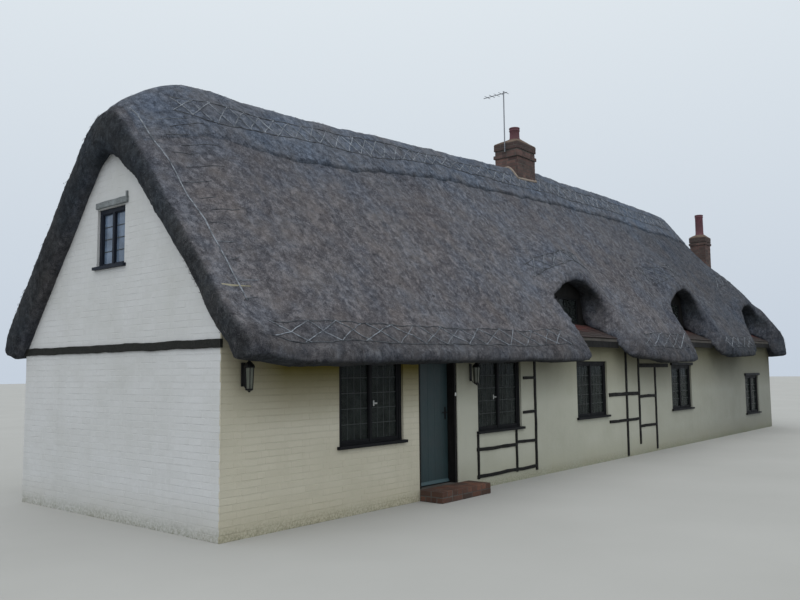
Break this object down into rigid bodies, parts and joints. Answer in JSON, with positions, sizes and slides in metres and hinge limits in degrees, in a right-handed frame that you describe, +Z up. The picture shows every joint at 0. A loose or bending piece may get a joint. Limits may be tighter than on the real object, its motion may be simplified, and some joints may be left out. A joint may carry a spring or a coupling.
{
  "type": "thatched cottage",
  "caption": "Long low cottage of painted brick under one deep coat of thatch, with hooded dormers, a hipped far end, brick chimneys and a hinged front door.",
  "frame": {"origin": "on the ground, under the middle of the thatch", "axes": "+X along the house from the gable end to the hipped end, -Y out of the front, +Z up"},
  "size_m": [20.9499, 5.63, 7.83],
  "materials": {
    "thatch": "weathered water reed, matt",
    "ridge_thatch": "weathered sedge, matt",
    "white_brick": "limewashed brick",
    "cream_brick": "cream masonry paint on brick",
    "cream_render": "cream masonry paint on render",
    "black_timber": "tarred oak",
    "grey_timber": "weathered oak",
    "window_paint": "dark satin paint",
    "window_glass": "clear",
    "door_paint": "teal satin paint on boards",
    "black_iron": "black paint",
    "clay_tile": "weathered plain tile",
    "red_brick": "soot-stained brick",
    "clay_pot": "fired clay",
    "floor_stone": "worn flags",
    "floor_boards": "old boards",
    "aerial_metal": "dull"
  },
  "bodies": {
    "house": {"thatch_front_slope": "thatch", "thatch_back_slope": "thatch", "thatch_hipped_end": "thatch", "ridge_cap": "ridge_thatch", "front_wall_left": "cream_brick", "front_wall_middle": "cream_render", "front_wall_right": "cream_render", "front_wall_over_door": "cream_brick", "gable_wall": "white_brick", "far_end_wall": "cream_render", "back_wall_left": "cream_render", "back_wall_right": "cream_render", "ground_floor": "floor_stone", "attic_floor": "floor_boards", "chimney_1_stack": "red_brick", "chimney_1_pot": "clay_pot", "chimney_2_stack": "red_brick", "chimney_2_pot": "clay_pot", "aerial": "aerial_metal", "front_window_1_frame": "window_paint", "front_window_1_glass": "window_glass", "front_window_2_frame": "window_paint", "front_window_2_glass": "window_glass", "front_window_3_frame": "window_paint", "front_window_3_glass": "window_glass", "front_window_4_frame": "window_paint", "front_window_4_glass": "window_glass", "front_window_5_frame": "window_paint", "front_window_5_glass": "window_glass", "back_window_1_frame": "window_paint", "back_window_1_glass": "window_glass", "back_window_2_frame": "window_paint", "back_window_2_glass": "window_glass", "back_window_3_frame": "window_paint", "back_window_3_glass": "window_glass", "gable_window_frame": "window_paint", "gable_window_glass": "window_glass", "gable_beam": "black_timber", "gable_lintel_board": "grey_timber", "dormer_1_frame": "black_timber", "dormer_1_glass": "window_glass", "dormer_1_tile_apron": "clay_tile", "dormer_2_frame": "black_timber", "dormer_2_glass": "window_glass", "dormer_2_tile_apron": "clay_tile", "dormer_3_frame": "black_timber", "dormer_3_glass": "window_glass", "dormer_3_tile_apron": "clay_tile", "timber_frame_left": "black_timber", "timber_frame_right": "black_timber", "door_frame": "black_timber", "door_step": "red_brick", "lantern_left": "black_iron", "lantern_right": "black_iron"},
    "door": {"door_leaf": "door_paint", "door_handle": "black_iron"}
  },
  "joints": [
    {"name": "door_hinge", "type": "hinge", "parent": "house", "child": "door", "pos_m": [-6.911, -2.016, 1], "axis": [0, 0, 1], "range_deg": [0, 90]}
  ]
}
